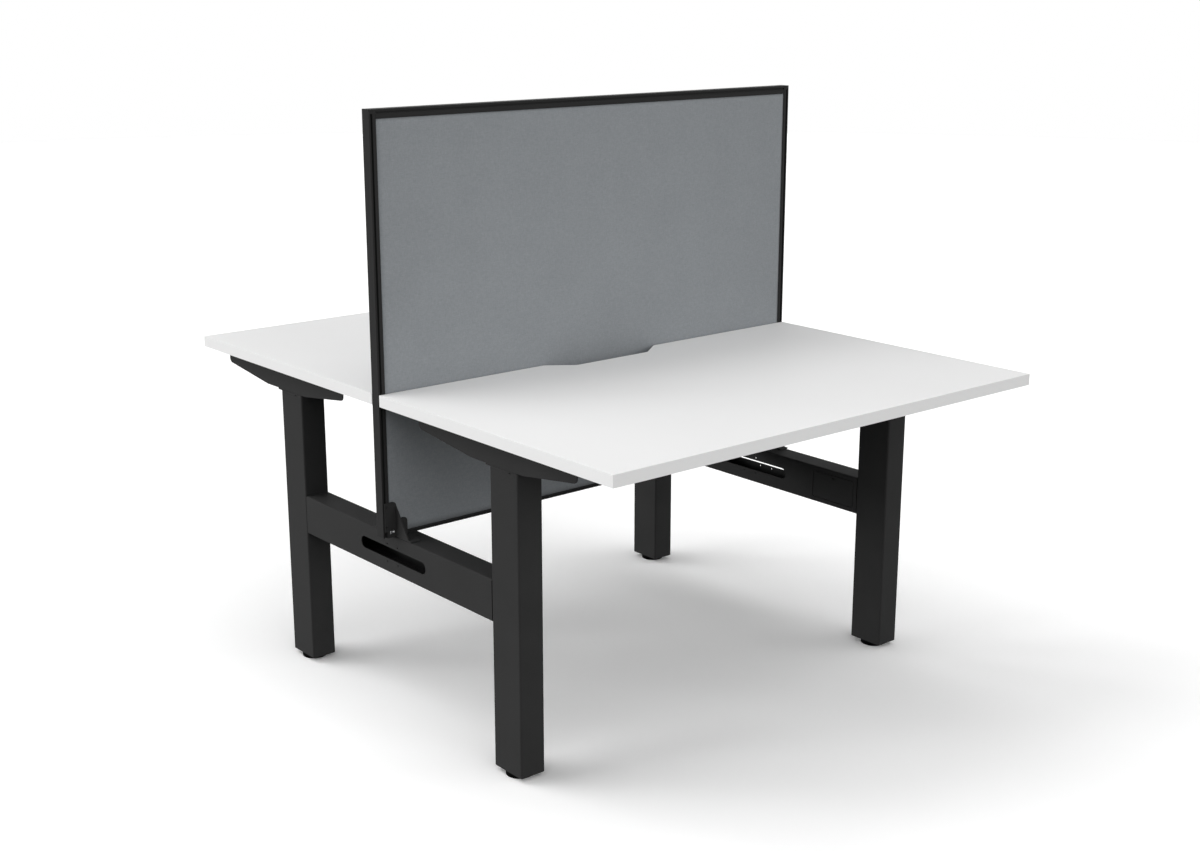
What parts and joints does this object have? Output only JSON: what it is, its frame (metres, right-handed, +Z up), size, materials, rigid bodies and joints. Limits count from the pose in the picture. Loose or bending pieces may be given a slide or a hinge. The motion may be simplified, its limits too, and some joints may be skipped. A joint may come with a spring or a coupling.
{
  "type": "benching desk",
  "caption": "Back-to-back sit-stand benching desk: white worktops on black lifting columns, slotted end beams and a framed grey fabric screen between the users.",
  "frame": {"origin": "on the floor, at the middle of the desk in plan", "axes": "+X along the worktops, +Y from the near desk to the far desk across the screen, +Z up"},
  "size_m": [1.2, 1.528, 1.3123],
  "materials": {
    "black_powder_coat": "fine matt texture",
    "black_aluminium": "matt black coat",
    "black_plastic": "fine moulded grain",
    "white_melamine": "white melamine face and edge band on chipboard",
    "grey_fabric": "plain woven screen cloth",
    "core_board": "raw board",
    "bright_steel": "bright",
    "motor_grey": "satin"
  },
  "bodies": {
    "frame": {"near_left_column": "black_powder_coat", "near_left_glide": "black_plastic", "near_left_nut_post": "bright_steel", "near_left_access_cover": "black_plastic", "near_left_bracket": "black_powder_coat", "near_right_column": "black_powder_coat", "near_right_glide": "black_plastic", "near_right_nut_post": "bright_steel", "near_right_access_cover": "black_plastic", "near_right_bracket": "black_powder_coat", "far_left_column": "black_powder_coat", "far_left_glide": "black_plastic", "far_left_nut_post": "bright_steel", "far_left_access_cover": "black_plastic", "far_left_bracket": "black_powder_coat", "far_right_column": "black_powder_coat", "far_right_glide": "black_plastic", "far_right_nut_post": "bright_steel", "far_right_access_cover": "black_plastic", "far_right_bracket": "black_powder_coat", "left_beam": "black_powder_coat", "right_beam": "black_powder_coat", "left_screen_post": "black_aluminium", "right_screen_post": "black_aluminium", "screen_top_rail": "black_aluminium", "screen_bottom_rail": "black_aluminium", "screen_core": "core_board", "near_fabric": "grey_fabric", "far_fabric": "grey_fabric"},
    "near_desk": {"near_worktop": "white_melamine", "near_cross_rail": "black_powder_coat", "near_control_box": "black_plastic", "near_handset": "black_plastic", "near_left_lift_tube": "black_powder_coat", "near_left_motor": "motor_grey", "near_left_arm": "black_powder_coat", "near_right_lift_tube": "black_powder_coat", "near_right_motor": "motor_grey", "near_right_arm": "black_powder_coat"},
    "far_desk": {"far_worktop": "white_melamine", "far_cross_rail": "black_powder_coat", "far_control_box": "black_plastic", "far_handset": "black_plastic", "far_left_lift_tube": "black_powder_coat", "far_left_motor": "motor_grey", "far_left_arm": "black_powder_coat", "far_right_lift_tube": "black_powder_coat", "far_right_motor": "motor_grey", "far_right_arm": "black_powder_coat"},
    "near_left_screw": {"near_left_spindle": "bright_steel"},
    "near_right_screw": {"near_right_spindle": "bright_steel"},
    "far_left_screw": {"far_left_spindle": "bright_steel"},
    "far_right_screw": {"far_right_spindle": "bright_steel"},
    "near_left_leveller": {"near_left_foot": "black_plastic"},
    "near_right_leveller": {"near_right_foot": "black_plastic"},
    "far_left_leveller": {"far_left_foot": "black_plastic"},
    "far_right_leveller": {"far_right_foot": "black_plastic"},
    "near_switch": {"near_rocker": "black_plastic"},
    "far_switch": {"far_rocker": "black_plastic"}
  },
  "joints": [
    {"name": "near_lift", "type": "slide", "parent": "frame", "child": "near_desk", "axis": [0, 0, 1], "range_m": [0, 0.48]},
    {"name": "far_lift", "type": "slide", "parent": "frame", "child": "far_desk", "axis": [0, 0, 1], "range_m": [0, 0.48]},
    {"name": "near_left_screw_turn", "type": "hinge", "parent": "near_desk", "child": "near_left_screw", "pos_m": [-0.541, -0.404, 0.3], "axis": [0, 0, 1], "range_deg": [0, 10801]},
    {"name": "near_right_screw_turn", "type": "hinge", "parent": "near_desk", "child": "near_right_screw", "pos_m": [0.541, -0.404, 0.3], "axis": [0, 0, 1], "range_deg": [0, 10801]},
    {"name": "far_left_screw_turn", "type": "hinge", "parent": "far_desk", "child": "far_left_screw", "pos_m": [-0.541, 0.404, 0.3], "axis": [0, 0, 1], "range_deg": [0, 10801]},
    {"name": "far_right_screw_turn", "type": "hinge", "parent": "far_desk", "child": "far_right_screw", "pos_m": [0.541, 0.404, 0.3], "axis": [0, 0, 1], "range_deg": [0, 10801]},
    {"name": "near_left_foot_turn", "type": "hinge", "parent": "frame", "child": "near_left_leveller", "pos_m": [-0.541, -0.404, 0], "axis": [0, 0, 1], "continuous": true},
    {"name": "near_right_foot_turn", "type": "hinge", "parent": "frame", "child": "near_right_leveller", "pos_m": [0.541, -0.404, 0], "axis": [0, 0, 1], "continuous": true},
    {"name": "far_left_foot_turn", "type": "hinge", "parent": "frame", "child": "far_left_leveller", "pos_m": [-0.541, 0.404, 0], "axis": [0, 0, 1], "continuous": true},
    {"name": "far_right_foot_turn", "type": "hinge", "parent": "frame", "child": "far_right_leveller", "pos_m": [0.541, 0.404, 0], "axis": [0, 0, 1], "continuous": true},
    {"name": "near_rocker_tilt", "type": "hinge", "parent": "near_desk", "child": "near_switch", "pos_m": [0.33, -0.695, 0.6927], "axis": [1, 0, 0], "range_deg": [-6, 6], "stiffness_Nm_per_rad": 0.8},
    {"name": "far_rocker_tilt", "type": "hinge", "parent": "far_desk", "child": "far_switch", "pos_m": [-0.33, 0.695, 0.6927], "axis": [1, 0, 0], "range_deg": [-6, 6], "stiffness_Nm_per_rad": 0.8}
  ],
  "couplings": [
    {"joint": "near_left_screw_turn", "follows": "near_lift", "rad_per_m": 392.7},
    {"joint": "near_right_screw_turn", "follows": "near_lift", "rad_per_m": 392.7},
    {"joint": "far_left_screw_turn", "follows": "far_lift", "rad_per_m": 392.7},
    {"joint": "far_right_screw_turn", "follows": "far_lift", "rad_per_m": 392.7}
  ]
}
